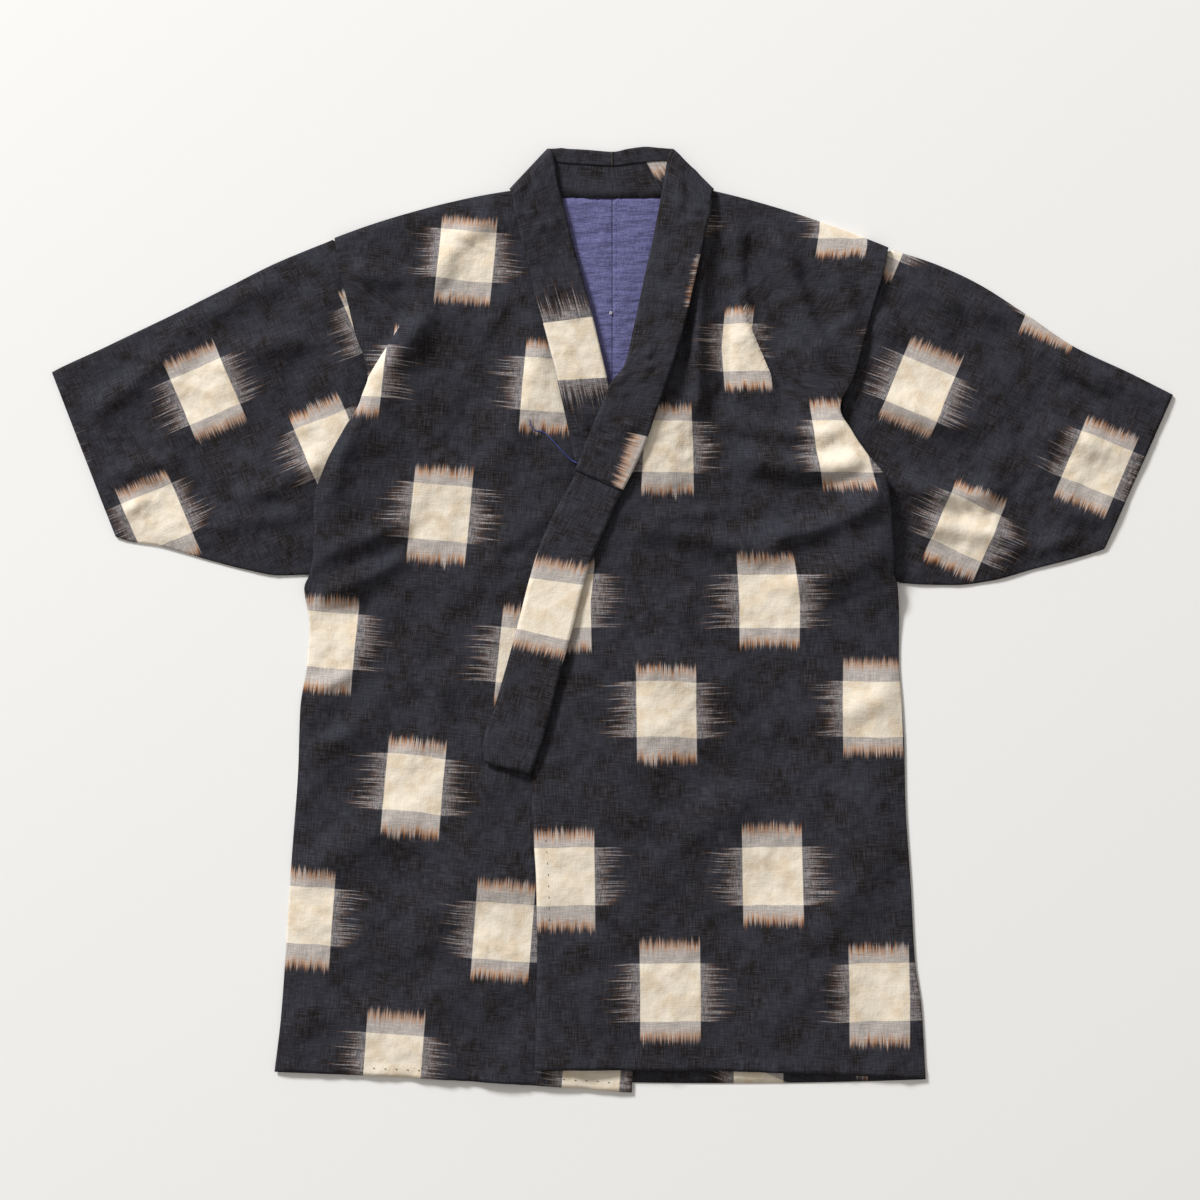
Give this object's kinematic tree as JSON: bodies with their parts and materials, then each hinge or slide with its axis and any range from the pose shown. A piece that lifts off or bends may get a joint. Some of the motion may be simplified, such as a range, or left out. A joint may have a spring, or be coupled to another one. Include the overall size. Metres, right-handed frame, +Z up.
{
  "type": "noragi jacket",
  "caption": "Short-sleeved Japanese farm jacket laid flat, its crossed fronts and narrow folded collar in dark cotton with pale woven squares.",
  "frame": {"origin": "the middle of the underside, where the jacket lies on the table", "axes": "+Z up from the table, +Y from the hem to the collar, +X to the wearer's left sleeve"},
  "size_m": [1.046, 0.8813, 0.0228],
  "materials": {
    "kasuri_cloth": "matte hand-loomed cotton",
    "lining_cloth": "matte plain cotton"
  },
  "bodies": {
    "root": {"body_right": "kasuri_cloth", "body_left": "kasuri_cloth", "sleeve_right": "kasuri_cloth", "sleeve_left": "kasuri_cloth", "collar_left_end": "kasuri_cloth", "collar_left_neck": "kasuri_cloth", "collar_back": "kasuri_cloth", "collar_right_neck": "kasuri_cloth", "collar_right_end": "kasuri_cloth", "collar_cover_left_end": "kasuri_cloth", "collar_cover_left_neck": "kasuri_cloth", "collar_cover_back": "kasuri_cloth", "collar_cover_right": "kasuri_cloth", "yoke_lining_right": "lining_cloth", "yoke_lining_left": "lining_cloth"}
  },
  "joints": []
}
